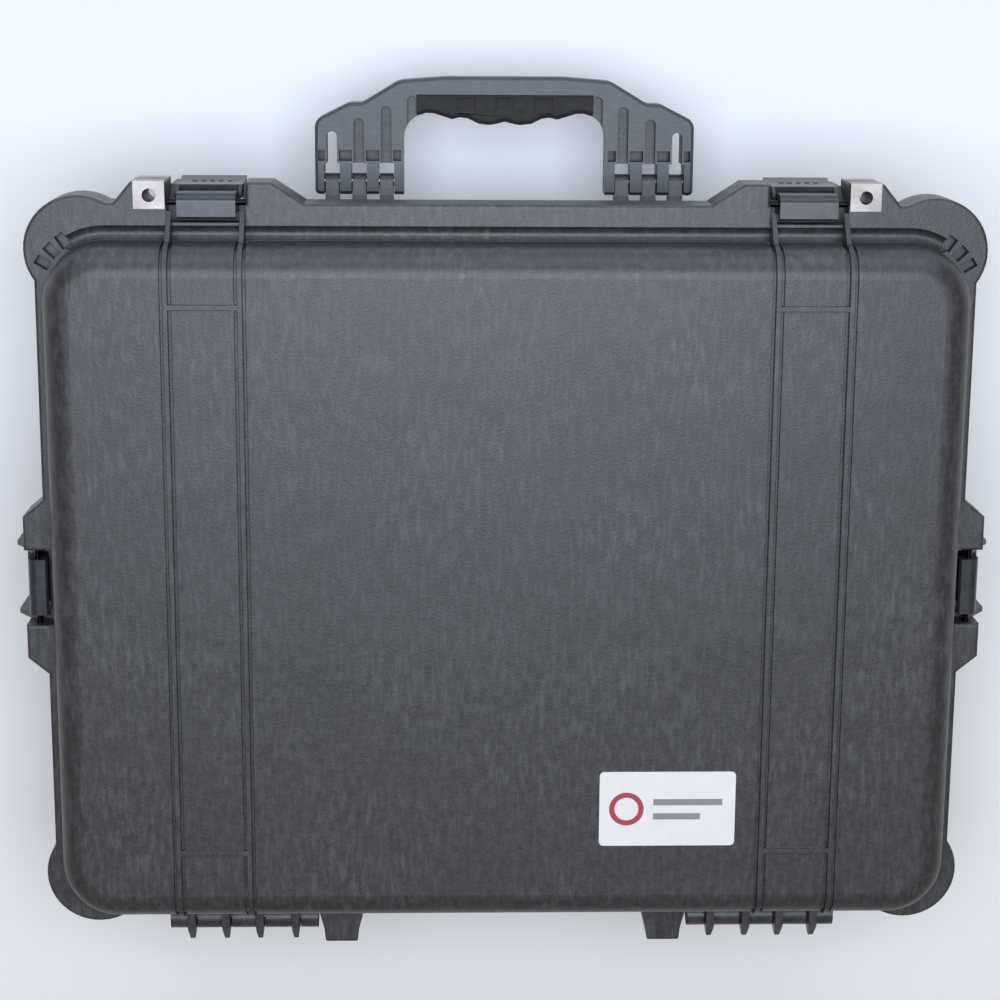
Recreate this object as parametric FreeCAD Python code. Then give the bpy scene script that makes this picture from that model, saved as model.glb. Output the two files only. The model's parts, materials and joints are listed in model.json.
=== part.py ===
"""Hard transport case: a deep base and a shallow lid in moulded polypropylene, hinged along the back.

Frame, in millimetres: the case lies flat on its base. The origin is the middle of the flat bottom panel,
+Z points up through the lid, -Y points to the front with the carry handle and +X to the right as seen
from the front. The handle is raised, straight out from the front wall.
"""

import math
import os

import FreeCAD
import Part

V = FreeCAD.Vector
EAST = V(1, 0, 0)
NORTH = V(0, 1, 0)
UP = V(0, 0, 1)

# ---- Driving dimensions ------------------------------------------------------------------------------

PART_Z = 166.0  # height of the parting plane
SEAL_GAP = 0.2  # each belt stops this far from the parting plane
TOP_Z = 216.0  # outer face of the lid

BODY_X = 284.5  # half width of the walls at the parting plane
BODY_Y = 217.0  # half length of the walls at the parting plane
BODY_R = 34.0  # plan radius of the cavity corners' outside
CORNER_R = 37.0  # plan radius of the wall corners at the parting plane
WALL = 7.0
FLOOR = 8.0
BASE_DRAFT = 5.0  # how far the base walls lean in, from the parting plane to the bottom
LID_DRAFT = 2.0
LID_EDGE_R = 18.0  # rounding between the lid's face and its walls
BASE_EDGE_R = 14.0

BELT_SIDE = 6.5  # how far the belt stands out at the sides and the back
BELT_FRONT = 22.0
BELT_X = BODY_X + BELT_SIDE
BELT_Y0 = -(BODY_Y + BELT_FRONT)
BELT_Y1 = BODY_Y + BELT_SIDE
LID_BELT = 16.0  # belt heights, above and below the parting plane
BASE_BELT = 18.0
BELT_R = 40.0
BELT_EDGE_R = 2.0

EAR_R = 33.3  # the round corner bumpers
EAR_IN_X = 27.2
EAR_IN_Y = 28.4

STRAP_X = 185.0  # the strap lines, and the front latches, are this far from the middle
RIDGE_AT = 22.4  # ridge centres, from the strap line
RIDGE_W = 3.0
RIDGE_H = 1.6
RIDGE_GROOVE_W = 2.0
RIDGE_GROOVE_D = 1.7
CROSS_FRONT_Y = -180.0
CROSS_BACK_Y = 168.0

LUG_H = 13.0  # how far the latch lugs stand out from the belt
NOTCH_HALF = 24.3
SIDE_NOTCH_IN = 4.3
FRONT_NOTCH_IN = 11.6
SIDE_LATCH_Y = 3.5
GUARD_H = 22.0  # how far the ribs that guard a side latch stand out
FRONT_SET_IN = 5.0  # how far behind the belt's edge the front latches sit
FRONT_GUARD_H = 14.5  # how far their guard ribs stand out, from there
GUARD_IN = 21.1
GUARD_T = 3.0

HINGE_Y = 232.0
HINGE_Z = PART_Z
HINGE_X = 170.5
HINGE_PIN_R = 2.5
KNUCKLE_R = 7.5
FIN_XS = (136.5, 160.0, 182.0, 204.5)
FIN_T = 5.0
FIN_TIP = 13.6  # how far the fins reach past the hinge's axis
HINGE_ENDS = (122.0, 219.0)

FOOT_X = 107.0
FOOT_Y = 252.5

HANDLE_Y = -245.0
HANDLE_Z = 84.0
HANDLE_PIN_R = 3.0
HANDLE_LEG_X = 94.0
HANDLE_HALF_T = 10.0
HANDLE_GAPS = (76.5, 94.2, 111.7)  # middles of the gaps in each leg, where the brackets reach in
HANDLE_GAP_W = 10.0
HANDLE_SLOT_W = 6.6
BRACKET_W = 9.0
BARREL_R = 5.0  # round ends of the bracket arms

LATCH_PIN_U = 5.5  # latch pivot, outwards from the belt and up from the parting plane
LATCH_PIN_H = 9.0
LATCH_PIN_R = 2.0
LATCH_PIN_HALF = 28.4
LATCH_HALF_W = 18.0
FRONT_TAIL_U = FRONT_SET_IN - 9.4  # how far in each latch's top plate reaches
SIDE_TAIL_U = -1.2
LEVER_PIN_U = 9.1
LEVER_PIN_H = -6.0
LEVER_PIN_R = 1.5
LEVER_HALF_W = 20.6
LEVER_CHEEK = 2.2

PADLOCK_R = 4.0
PADLOCK_X = STRAP_X + 34.5
PADLOCK_Y = BELT_Y0 - 5.0
PLATE_T = 1.0
PLATE_SIZE = 19.5

LABEL_X = -102.3
LABEL_Y = 139.6
LABEL_SIZE = (86.5, 49.5, 0.4)

FIXED_FIT = 0.02  # radial clearance of a pin that is held
TURNING_FIT = 0.06  # radial clearance of a hole that turns on its pin

VALVE_Z = 124.0

FOAM_GAP = 1.5
PAD_T = 20.0
LAYER_T = 64.0
CELL = 12.7  # side of the foam's pre-scored squares
POCKETS = (  # lowest and highest corners of each pocket, in cells from the middle
    ("main", -17, 5, -9, 9),
    ("left", 8, 17, -9, -1),
    ("right", 8, 17, 2, 9),
)

# A latch's own frame has x along the belt, y outwards from it and z up from the parting plane.
# Each station is its name, the turn about Z that points y outwards, and its place on the belt.
LATCHES = (
    ("front_left", 180, (-STRAP_X, BELT_Y0), FRONT_NOTCH_IN),
    ("front_right", 180, (STRAP_X, BELT_Y0), FRONT_NOTCH_IN),
    ("side_left", 90, (-BELT_X, SIDE_LATCH_Y), SIDE_NOTCH_IN),
    ("side_right", -90, (BELT_X, SIDE_LATCH_Y), SIDE_NOTCH_IN),
)
SIDES = (("left", -1), ("right", 1))


# ---- Small makers ------------------------------------------------------------------------------------


def box(x0, x1, y0, y1, z0, z1):
    return Part.makeBox(x1 - x0, y1 - y0, z1 - z0, V(x0, y0, z0))


def polygon_prism(points, along, length):
    """A flat polygon of points, pushed along a direction."""
    wire = Part.makePolygon([*points, points[0]])
    return Part.Face(wire).extrude(along * length)


def side_prism(profile, x0, x1):
    """A profile of (y, z) points between two x planes."""
    return polygon_prism([V(x0, y, z) for y, z in profile], EAST, x1 - x0)


def plan_prism(outline, z0, z1):
    """An outline of (x, y) points between two heights."""
    return polygon_prism([V(x, y, z0) for x, y in outline], UP, z1 - z0)


def rod(radius, start, along, length):
    return Part.makeCylinder(radius, length, start, along)


def cross_rod(radius, x0, x1, y, z):
    """A round bar that lies along X."""
    return rod(radius, V(x0, y, z), EAST, x1 - x0)


def rounded_wire(x0, x1, y0, y1, radius, z):
    """A rectangle with rounded corners, at one height."""
    edges = []
    corners = (
        (x1 - radius, y1 - radius, 0),
        (x0 + radius, y1 - radius, 90),
        (x0 + radius, y0 + radius, 180),
        (x1 - radius, y0 + radius, 270),
    )
    ends = []
    for cx, cy, start in corners:
        on_arc = [
            V(
                cx + radius * math.cos(math.radians(start + turn)),
                cy + radius * math.sin(math.radians(start + turn)),
                z,
            )
            for turn in (0, 45, 90)
        ]
        edges.append(Part.Arc(*on_arc).toShape())
        ends.append((on_arc[0], on_arc[2]))
    for i, (_, leave) in enumerate(ends):
        arrive = ends[(i + 1) % len(ends)][0]
        edges.append(Part.LineSegment(leave, arrive).toShape())
    return Part.Wire(Part.__sortEdges__(edges))


def rounded_prism(x0, x1, y0, y1, radius, z0, z1):
    wire = rounded_wire(x0, x1, y0, y1, radius, z0)
    return Part.Face(wire).extrude(UP * (z1 - z0))


def tapered_block(half_x, half_y, radius, z0, z1, lean):
    """A block with rounded corners whose walls lean in by lean from z0 to z1."""
    wires = [
        rounded_wire(-half_x, half_x, -half_y, half_y, radius, z0),
        rounded_wire(
            lean - half_x,
            half_x - lean,
            lean - half_y,
            half_y - lean,
            radius - lean,
            z1,
        ),
    ]
    return Part.makeLoft(wires, True, True)


def edges_in_plane(shape, axis, level):
    """The edges that lie wholly in one plane, such as axis Z at level 0."""
    flat = []
    for edge in shape.Edges:
        low = getattr(edge.BoundBox, axis + "Min")
        high = getattr(edge.BoundBox, axis + "Max")
        if abs(low - level) < 1e-4 and abs(high - level) < 1e-4:
            flat.append(edge)
    return flat


def fuse(shapes):
    return shapes[0].multiFuse(shapes[1:]).removeSplitter()


def cut(shape, tools):
    return shape.cut(Part.makeCompound(tools)) if tools else shape


def at_latch(shape, station):
    """Moves a shape from the latch's own frame to a station on the belt."""
    _, turn, (x, y), _ = station
    placed = shape.copy()
    placed.rotate(V(0, 0, 0), UP, turn)
    placed.translate(V(x, y, PART_Z))
    return placed


def latch_seat(station):
    """The station that a latch and its pins are built at, which is set in for the front latches."""
    name, turn, (x, y), depth = station
    inwards = FRONT_SET_IN if name.startswith("front") else 0.0
    return name, turn, (x, y + inwards), depth


def mirrored_x(shape):
    return shape.mirror(V(0, 0, 0), EAST)


# ---- Walls that the base and the lid share ---------------------------------------------------------------


def belt(z0, z1, outer_z):
    """The stiff rim with its four round corner bumpers and its latch lugs, eased at one height."""
    pieces = [
        rounded_prism(-BELT_X, BELT_X, BELT_Y0, BELT_Y1, BELT_R, z0, z1),
    ]
    for x in (EAR_IN_X - BELT_X, BELT_X - EAR_IN_X):
        for y in (BELT_Y0 + EAR_IN_Y, BELT_Y1 - EAR_IN_Y):
            pieces.append(rod(EAR_R, V(x, y, z0), UP, z1 - z0))
    inner_lug = (
        (NOTCH_HALF, -5),
        (NOTCH_HALF, LUG_H),
        (40.0, LUG_H),
        (60.0, 0),
        (60.0, -5),
    )
    outer_lug = (
        (NOTCH_HALF, -5),
        (NOTCH_HALF, LUG_H),
        (46.0, LUG_H),
        (58.0, -1.5),
        (58.0, -5),
    )
    for station in LATCHES:
        name = station[0]
        if name.startswith("front"):
            # the padlock lug is the outer one of the pair
            outer_is_positive = name == "front_left"
            pair = (outer_lug, inner_lug) if outer_is_positive else (inner_lug, outer_lug)
        else:
            pair = (outer_lug, outer_lug)
        for lug, side in zip(pair, (1, -1)):
            outline = [(side * x, u) for x, u in lug]
            solid = plan_prism(outline, z0 - PART_Z, z1 - PART_Z)
            pieces.append(at_latch(solid, station))
    rim = fuse(pieces)
    return rim.makeFillet(BELT_EDGE_R, edges_in_plane(rim, "Z", outer_z))


def latch_pin_bores(radius):
    half = LATCH_PIN_HALF + 0.6
    bore = rod(radius, V(-half, LATCH_PIN_U, LATCH_PIN_H), EAST, 2 * half)
    return [at_latch(bore, latch_seat(station)) for station in LATCHES]


def padlock_bores():
    tall = LID_BELT + BASE_BELT + 4
    low = PART_Z - BASE_BELT - 2
    return [
        rod(PADLOCK_R, V(side * PADLOCK_X, PADLOCK_Y, low), UP, tall)
        for _, side in SIDES
    ]


# ---- Base shell ---------------------------------------------------------------------------------------


def base_walls():
    top = PART_Z - SEAL_GAP
    half_x, half_y = BODY_X - BASE_DRAFT, BODY_Y - BASE_DRAFT
    outer = tapered_block(half_x, half_y, CORNER_R - BASE_DRAFT, 0, top, -BASE_DRAFT)
    return outer.makeFillet(BASE_EDGE_R, edges_in_plane(outer, "Z", 0))


def base_cavity():
    inner = tapered_block(
        BODY_X - BASE_DRAFT - WALL,
        BODY_Y - BASE_DRAFT - WALL,
        BODY_R - 7,
        FLOOR,
        PART_Z,
        -BASE_DRAFT,
    )
    return inner.makeFillet(BASE_EDGE_R - 4, edges_in_plane(inner, "Z", FLOOR))


def seal_ring(inset, width, z0, z1):
    """A rectangular ring that follows the wall, its outside inset from the wall's outer face."""
    outside = rounded_prism(
        inset - BODY_X, BODY_X - inset, inset - BODY_Y, BODY_Y - inset, CORNER_R - inset, z0, z1
    )
    deep = inset + width
    inside = rounded_prism(
        deep - BODY_X, BODY_X - deep, deep - BODY_Y, BODY_Y - deep, CORNER_R - deep, z0, z1
    )
    return outside.cut(inside)


TONGUE_INSET = 0.5
TONGUE_W = 3.0
TONGUE_H = 4.0
GROOVE_INSET = -1.0
GROOVE_W = 5.5
GROOVE_TOP = PART_Z + 10.0


def base_strap_ridges():
    """Upright ridges that carry the strap lines down the front and back walls, from belt to bottom."""
    ridges = []
    for strap in (-STRAP_X, STRAP_X):
        for offset in (-RIDGE_AT, RIDGE_AT):
            x = strap + offset
            for wall in (-1, 1):
                near, far = sorted((wall * (BODY_Y - 9), wall * (BODY_Y + 1.5)))
                ridges.append(box(x - RIDGE_W / 2, x + RIDGE_W / 2, near, far, 12, PART_Z - BASE_BELT))
    return ridges


def gusset(depth, drop, thickness):
    """A triangular rib in the latch frame, hanging under the base belt with its back in the wall."""
    profile = (
        V(-thickness / 2, 0, -BASE_BELT + 2),
        V(-thickness / 2, -1, -BASE_BELT - 2),
        V(-thickness / 2, -depth, -BASE_BELT - drop),
        V(-thickness / 2, -depth, -BASE_BELT + 2),
    )
    return polygon_prism(profile, EAST, thickness)


GUSSET_T = 2.6
FRONT_GUSSET_XS = (20, 45, 130)
SIDE_GUSSET_YS = (60, 90, 120, 150)
BACK_GUSSET_XS = (22, 50, 78)
CORNER_GUSSET_X = 243.0
CORNER_GUSSET_Y = 174.0


def belt_gussets():
    """Ribs that prop the belt: deep ones under the front overhang, shallow ones at the sides and back."""
    front = gusset(BELT_FRONT + 4, 26, GUSSET_T)
    shallow = gusset(BELT_SIDE + 3, 16, GUSSET_T)
    long_front = gusset(BELT_FRONT + 7, 95, GUSSET_T)
    long_shallow = gusset(BELT_SIDE + 7, 95, GUSSET_T)
    placed = []
    for side in (-1, 1):
        x = side * CORNER_GUSSET_X
        placed.append(at_latch(long_front, ("", 180, (x, BELT_Y0), 0)))
        placed.append(at_latch(long_shallow, ("", 0, (x, BELT_Y1), 0)))
        for end in (-1, 1):
            y = end * CORNER_GUSSET_Y
            placed.append(at_latch(long_shallow, ("", -90 * side, (side * BELT_X, y), 0)))
        for x in FRONT_GUSSET_XS:
            placed.append(at_latch(front, ("", 180, (side * x, BELT_Y0), 0)))
        for x in BACK_GUSSET_XS:
            placed.append(at_latch(shallow, ("", 0, (side * x, BELT_Y1), 0)))
        for y in SIDE_GUSSET_YS:
            for end in (-1, 1):
                placed.append(at_latch(shallow, ("", -90 * side, (side * BELT_X, end * y), 0)))
    return placed


def guard_ribs():
    """Two ribs beside each latch that take the knocks, with slanted ends."""
    pieces = []
    for station in LATCHES:
        in_front = station[0].startswith("front")
        depth = 28.0 - FRONT_SET_IN if in_front else 12.0
        reach = FRONT_GUARD_H if in_front else GUARD_H
        profile = (
            (-depth, -70),
            (4, -62),
            (reach, -50),
            (reach, -14),
            (reach - 10, -0.4),
            (-5, -0.4),
            (-5, -16),
            (-depth, -16),
        )
        for side in (-1, 1):
            x = side * (GUARD_IN + GUARD_T / 2) - GUARD_T / 2
            rib = polygon_prism([V(x, u, h) for u, h in profile], EAST, GUARD_T)
            pieces.append(at_latch(rib, latch_seat(station)))
    return pieces


def hinge_knuckles():
    """Barrels on the base, filling the spaces between the lid's hinge fins."""
    gap = 0.6
    stops = [HINGE_ENDS[0] - gap - FIN_T / 2, *FIN_XS, HINGE_ENDS[1] + gap + FIN_T / 2]
    pieces = []
    for near, far in zip(stops, stops[1:]):
        x0, x1 = near + FIN_T / 2 + gap, far - FIN_T / 2 - gap
        barrel = cross_rod(KNUCKLE_R, x0, x1, HINGE_Y, HINGE_Z)
        arm = side_prism(
            (
                (BODY_Y - 6, PART_Z - 36),
                (BELT_Y1, PART_Z - BASE_BELT),
                (HINGE_Y + 5.0, HINGE_Z - 5.6),
                (HINGE_Y, PART_Z - 2),
                (BELT_Y1 - 2, PART_Z - 2),
                (BODY_Y - 6, PART_Z - 2),
            ),
            x0,
            x1,
        )
        pieces += [barrel, arm]
    return [*pieces, *(mirrored_x(p) for p in pieces)]


def handle_bracket(side):
    """Three arms that reach from a pad on the front wall to the pin at one end of the handle."""
    wall_y = 10 - BODY_Y
    arm_profile = (
        (wall_y, HANDLE_Z - 20),
        (wall_y, HANDLE_Z + 20),
        (2 - BODY_Y, HANDLE_Z + 18),
        (HANDLE_Y + 9, HANDLE_Z + BARREL_R + 1),
        (HANDLE_Y, HANDLE_Z + BARREL_R),
        (HANDLE_Y, HANDLE_Z - BARREL_R),
        (HANDLE_Y + 9, HANDLE_Z - BARREL_R - 1),
        (2 - BODY_Y, HANDLE_Z - 18),
    )
    pieces = []
    for middle in HANDLE_GAPS:
        x0 = side * middle - BRACKET_W / 2
        pieces.append(side_prism(arm_profile, x0, x0 + BRACKET_W))
        pieces.append(cross_rod(BARREL_R, x0, x0 + BRACKET_W, HANDLE_Y, HANDLE_Z))
    x = side * HANDLE_LEG_X
    pad = box(x - 30, x + 30, -1 - BODY_Y, wall_y, HANDLE_Z - 26, HANDLE_Z + 26)
    pieces.append(pad.makeChamfer(2.5, edges_in_plane(pad, "Y", -1 - BODY_Y)))
    bore = cross_rod(HANDLE_PIN_R + FIXED_FIT, x - 40, x + 40, HANDLE_Y, HANDLE_Z)
    return fuse(pieces).cut(base_outside()).cut(bore)


def valve_seat():
    return rod(17, V(0, 12 - BODY_Y, VALVE_Z), V(0, -1, 0), 15)


def base_outside():
    """The base's walls as if solid, with their strap ridges and the valve's seat."""
    return fuse([base_walls(), *base_strap_ridges(), valve_seat()])


def base_tub():
    top = PART_Z - SEAL_GAP
    tongue = seal_ring(TONGUE_INSET, TONGUE_W, top - 1, top + TONGUE_H)
    tub = base_outside().cut(base_cavity()).fuse(tongue)
    channels = [
        box(strap - 26, strap + 26, -BODY_Y - 5, BODY_Y + 5, -1, 2.6) for strap in (-STRAP_X, STRAP_X)
    ]
    valve_bore = rod(9.0, V(0, 30 - BODY_Y, VALVE_Z), V(0, -1, 0), 50)
    return cut(tub, [*channels, valve_bore]).removeSplitter()


def tail_pockets():
    """Room in the base's belt for the top plates of the front latches as they swing down."""
    pocket = box(-LATCH_HALF_W - 0.8, LATCH_HALF_W + 0.8, FRONT_TAIL_U - 1.8, 5, -6.5, 1)
    return [at_latch(pocket, station) for station in LATCHES if station[0].startswith("front")]


def base_rim():
    """The belt round the top of the base, with everything that is moulded on it."""
    low = PART_Z - BASE_BELT
    rim = belt(low, PART_Z - SEAL_GAP, low)
    rim = fuse([rim, *belt_gussets(), *guard_ribs(), *hinge_knuckles()])
    pin_bores = [
        cross_rod(HINGE_PIN_R + FIXED_FIT, side * HINGE_X - 47, side * HINGE_X + 47, HINGE_Y, HINGE_Z)
        for _, side in SIDES
    ]
    return cut(rim.cut(base_outside()), [*pin_bores, *padlock_bores(), *tail_pockets()]).removeSplitter()


def stand_foot(side, rim):
    """A tapered rail on the back wall that the case stands on when it is upright."""
    half = ((17, BODY_Y - 11), (16, 226), (11.5, 243), (10.5, FOOT_Y))
    outline = [*((-x, y) for x, y in half), *reversed(half)]
    foot = plan_prism([(side * FOOT_X + x, y) for x, y in outline], 12, PART_Z - 3)
    foot = foot.makeFillet(2.5, edges_in_plane(foot, "Y", FOOT_Y))
    return foot.cut(base_outside()).cut(rim)


# ---- Lid shell ----------------------------------------------------------------------------------------

LID_CEILING = TOP_Z - 5.0
DRAIN_R = 4.8  # a shallow round channel along the front foot of the dome
DRAIN_OUT = 3.8  # its middle, from the line of the dome's walls
DRAIN_TURN = 31.0  # how far it follows each front corner, in degrees


def lid_body(grow, low):
    """The lid's rounded block from a low plane up, grown all over by grow."""
    block = tapered_block(
        BODY_X + grow, BODY_Y + grow, CORNER_R + grow, low, TOP_Z + grow, LID_DRAFT
    )
    return block.makeFillet(LID_EDGE_R + grow, edges_in_plane(block, "Z", TOP_Z + grow))


def lid_cavity():
    block = tapered_block(
        BODY_X - WALL, BODY_Y - WALL, CORNER_R - 5, PART_Z, LID_CEILING, LID_DRAFT
    )
    return block.makeFillet(LID_EDGE_R - 6, edges_in_plane(block, "Z", LID_CEILING))


def slabs(offsets, width):
    """Thin upright slabs across the whole case, at offsets from each strap line."""
    found = []
    for strap in (-STRAP_X, STRAP_X):
        for offset in offsets:
            x = strap + offset
            low = PART_Z + LID_BELT
            found.append(box(x - width / 2, x + width / 2, -BODY_Y - 9, BODY_Y + 9, low, TOP_Z + 9))
    return found


def strap_skins(grown):
    """The strap ridges and their cross ridges, cut from a grown lid block."""
    reach = RIDGE_AT + RIDGE_W / 2
    crosses = [
        box(strap - reach, strap + reach, y - 1.6, y + 1.6, TOP_Z - 4, TOP_Z + 9)
        for strap in (-STRAP_X, STRAP_X)
        for y in (CROSS_FRONT_Y, CROSS_BACK_Y)
    ]
    tools = [*slabs((-RIDGE_AT, RIDGE_AT), RIDGE_W), *crosses]
    return [grown.common(tool) for tool in tools]


def strap_grooves(grown, shrunk):
    """Fine grooves on both sides of every strap ridge."""
    beside = RIDGE_W / 2 + RIDGE_GROOVE_W / 2
    offsets = [side * RIDGE_AT + step for side in (-1, 1) for step in (-beside, beside)]
    skin = grown.cut(shrunk)
    return [skin.common(tool) for tool in slabs(offsets, RIDGE_GROOVE_W)]


def lid_gussets():
    """Low triangular ribs that stand on the lid's belt, in line with the strap ridges."""
    top = PART_Z + LID_BELT
    front = (
        (3 - BODY_Y, top - 2),
        (3 - BODY_Y, top + 18),
        (-BODY_Y, top + 17),
        (BELT_Y0 + 3, top),
        (BELT_Y0 + 3, top - 2),
    )
    back = (
        (BODY_Y - 3, top - 2),
        (BODY_Y - 3, top + 14),
        (BODY_Y, top + 13),
        (BELT_Y1 - 0.5, top),
        (BELT_Y1 - 0.5, top - 2),
    )
    middles = [side * (STRAP_X + step) for side in (-1, 1) for step in (-RIDGE_AT, RIDGE_AT)]
    return [
        side_prism(profile, x - RIDGE_W / 2, x + RIDGE_W / 2)
        for x in middles
        for profile in (front, back)
    ]


def hinge_fins():
    """Tapered fins on the lid that turn on the hinge pins."""
    top = PART_Z + LID_BELT
    fins = []
    for x in FIN_XS:
        plate = side_prism(
            (
                (BELT_Y1 - 5, PART_Z + 1),
                (HINGE_Y - 6, HINGE_Z + 1),
                (HINGE_Y, HINGE_Z - 1),
                (HINGE_Y + FIN_TIP - 4, HINGE_Z - 2),
                (HINGE_Y + FIN_TIP, HINGE_Z + 2),
                (HINGE_Y + FIN_TIP - 1, HINGE_Z + 7),
                (HINGE_Y + 2, top - 1),
                (BELT_Y1 - 5, top - 1),
            ),
            x - FIN_T / 2,
            x + FIN_T / 2,
        )
        taper = (
            (x - FIN_T / 2, BELT_Y1 - 6),
            (x - FIN_T / 2, HINGE_Y + 5),
            (x - 1.2, HINGE_Y + FIN_TIP + 1),
            (x + 1.2, HINGE_Y + FIN_TIP + 1),
            (x + FIN_T / 2, HINGE_Y + 5),
            (x + FIN_T / 2, BELT_Y1 - 6),
        )
        blade = plate.common(plan_prism(taper, PART_Z - 9, top))
        eye = cross_rod(KNUCKLE_R, x - FIN_T / 2, x + FIN_T / 2, HINGE_Y, HINGE_Z)
        fins.append(blade.fuse(eye))
    return [*fins, *(mirrored_x(fin) for fin in fins)]


def latch_notches():
    """Room in the lid's belt for each latch to turn."""
    tools = []
    for station in LATCHES:
        depth = station[3]
        notch = box(-NOTCH_HALF, NOTCH_HALF, -depth, 20, -1, LID_BELT + 1)
        tools.append(at_latch(notch, station))
    return tools


def ear_pockets():
    """Three blind pockets in each front corner bumper, fanned round the corner of the dome."""
    top = PART_Z + LID_BELT
    tools = []
    for side in (-1, 1):
        middle = V(side * (BODY_X - CORNER_R), CORNER_R - BODY_Y, 0)
        for turn in (-55, -43, -31):
            slot = box(39.5, 48.5, -3.0, 3.0, top - 7, top + 1)
            slot.rotate(V(0, 0, 0), UP, turn if side > 0 else 180 - turn)
            slot.translate(middle)
            tools.append(slot)
    return tools


def lid_outside():
    """The lid's dome as if solid, with its strap ridges and the grooves beside them."""
    low = PART_Z + SEAL_GAP
    grown = lid_body(RIDGE_H, low)
    grooves = strap_grooves(grown, lid_body(-RIDGE_GROOVE_D, low))
    dome = lid_body(0, low).cut(Part.makeCompound(grooves))
    return dome.multiFuse(strap_skins(grown)).removeSplitter()


def seal_groove():
    return seal_ring(GROOVE_INSET, GROOVE_W, PART_Z - 1, GROOVE_TOP)


def lid_dome(outside):
    return cut(outside, [lid_cavity(), seal_groove(), *latch_notches()]).removeSplitter()


def drain_channel():
    """The round channel along the dome's front foot, with a round end past each front corner."""
    turn_x, turn_y = BODY_X - CORNER_R, CORNER_R - BODY_Y
    reach = CORNER_R + DRAIN_OUT
    z = PART_Z + LID_BELT + 1
    straight = cross_rod(DRAIN_R, -turn_x, turn_x, turn_y - reach, z)
    ring = Part.makeCircle(DRAIN_R, V(turn_x, turn_y - reach, z), EAST)
    bend = Part.Face(Part.Wire(ring)).revolve(V(turn_x, turn_y, 0), UP, DRAIN_TURN)
    angle = math.radians(DRAIN_TURN)
    tip = V(turn_x + reach * math.sin(angle), turn_y - reach * math.cos(angle), z)
    end = Part.makeSphere(DRAIN_R, tip)
    return [straight, bend, end, mirrored_x(bend), mirrored_x(end)]


def lid_rim(outside):
    """The belt round the foot of the lid, with its gussets, hinge fins and latch lugs."""
    high = PART_Z + LID_BELT
    drained = cut(belt(PART_Z + SEAL_GAP, high, high), drain_channel())
    rim = fuse([drained, *lid_gussets(), *hinge_fins()])
    bore_r = HINGE_PIN_R + TURNING_FIT
    hinge_bores = [
        cross_rod(bore_r, side * HINGE_X - 50, side * HINGE_X + 50, HINGE_Y, HINGE_Z)
        for _, side in SIDES
    ]
    tools = [
        seal_groove(),
        *hinge_bores,
        *latch_pin_bores(LATCH_PIN_R + FIXED_FIT),
        *padlock_bores(),
        *latch_notches(),
        *ear_pockets(),
    ]
    return cut(rim.cut(outside), tools).removeSplitter()


# ---- Latches ------------------------------------------------------------------------------------------


def latch_prism(profile, x0, x1):
    return polygon_prism([V(x0, u, h) for u, h in profile], EAST, x1 - x0)


def latch_hook(station):
    """The half of a latch that hangs on the lid and hooks under the base's belt."""
    ledge = -BASE_BELT - 0.4
    head_r = 6.0
    outer = LATCH_PIN_U + head_r
    arm = latch_prism(
        (
            (outer - 4, LATCH_PIN_H),
            (outer, LATCH_PIN_H),
            (outer, -1),
            (outer - 0.6, -3),
            (outer - 0.6, ledge - 5),
            (outer - 4, ledge - 6),
            (-2, ledge - 4),
            (-3.5, ledge - 2),
            (-3.5, ledge),
            (outer - 4, ledge),
        ),
        -LATCH_HALF_W,
        LATCH_HALF_W,
    )
    head = rod(head_r, V(-LATCH_HALF_W, LATCH_PIN_U, LATCH_PIN_H), EAST, 2 * LATCH_HALF_W)
    tail = FRONT_TAIL_U if station[0].startswith("front") else SIDE_TAIL_U
    cover = latch_prism(
        (
            (tail, LATCH_PIN_H + 1.5),
            (tail, LATCH_PIN_H + 4.8),
            (tail + 1.2, LATCH_PIN_H + 6),
            (LATCH_PIN_U, LATCH_PIN_H + 6),
            (LATCH_PIN_U, LATCH_PIN_H + 1.5),
        ),
        -LATCH_HALF_W,
        LATCH_HALF_W,
    )
    bores = [
        rod(LATCH_PIN_R + TURNING_FIT, V(-30, LATCH_PIN_U, LATCH_PIN_H), EAST, 60),
        rod(LEVER_PIN_R + FIXED_FIT, V(-30, LEVER_PIN_U, LEVER_PIN_H), EAST, 60),
    ]
    return at_latch(cut(fuse([head, arm, cover]), bores), latch_seat(station))


def latch_lever(station):
    """The half of a latch that the fingers pull, on a pin through the hook."""
    cheek = (
        (6.6, -3.2),
        (11.1, -2.8),
        (14.7, -8.5),
        (14.7, -36),
        (16.2, -44),
        (13.5, -44),
        (9.0, -34),
        (6.9, -12),
    )
    web = (
        (11.7, -9.0),
        (14.7, -8.5),
        (14.7, -36),
        (17.2, -46.5),
        (14.4, -46.5),
        (11.7, -36),
    )
    inner = LEVER_HALF_W - LEVER_CHEEK
    pieces = [
        latch_prism(web, -LEVER_HALF_W, LEVER_HALF_W),
        latch_prism(cheek, -LEVER_HALF_W, -inner),
        latch_prism(cheek, inner, LEVER_HALF_W),
    ]
    for x in (-11.0, -5.5, 0, 5.5, 11.0):
        thumb_rib = ((14.5, -30), (15.5, -31), (15.5, -34), (14.5, -35))
        pieces.append(latch_prism(thumb_rib, x - 1.3, x + 1.3))
    bore = rod(LEVER_PIN_R + TURNING_FIT, V(-30, LEVER_PIN_U, LEVER_PIN_H), EAST, 60)
    return at_latch(fuse(pieces).cut(bore), latch_seat(station))


def latch_pin(station):
    start = V(-LATCH_PIN_HALF, LATCH_PIN_U, LATCH_PIN_H)
    return at_latch(rod(LATCH_PIN_R, start, EAST, 2 * LATCH_PIN_HALF), latch_seat(station))


def lever_pin(station):
    start = V(-LEVER_HALF_W + 0.2, LEVER_PIN_U, LEVER_PIN_H)
    return at_latch(rod(LEVER_PIN_R, start, EAST, 2 * LEVER_HALF_W - 0.4), latch_seat(station))


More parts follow.
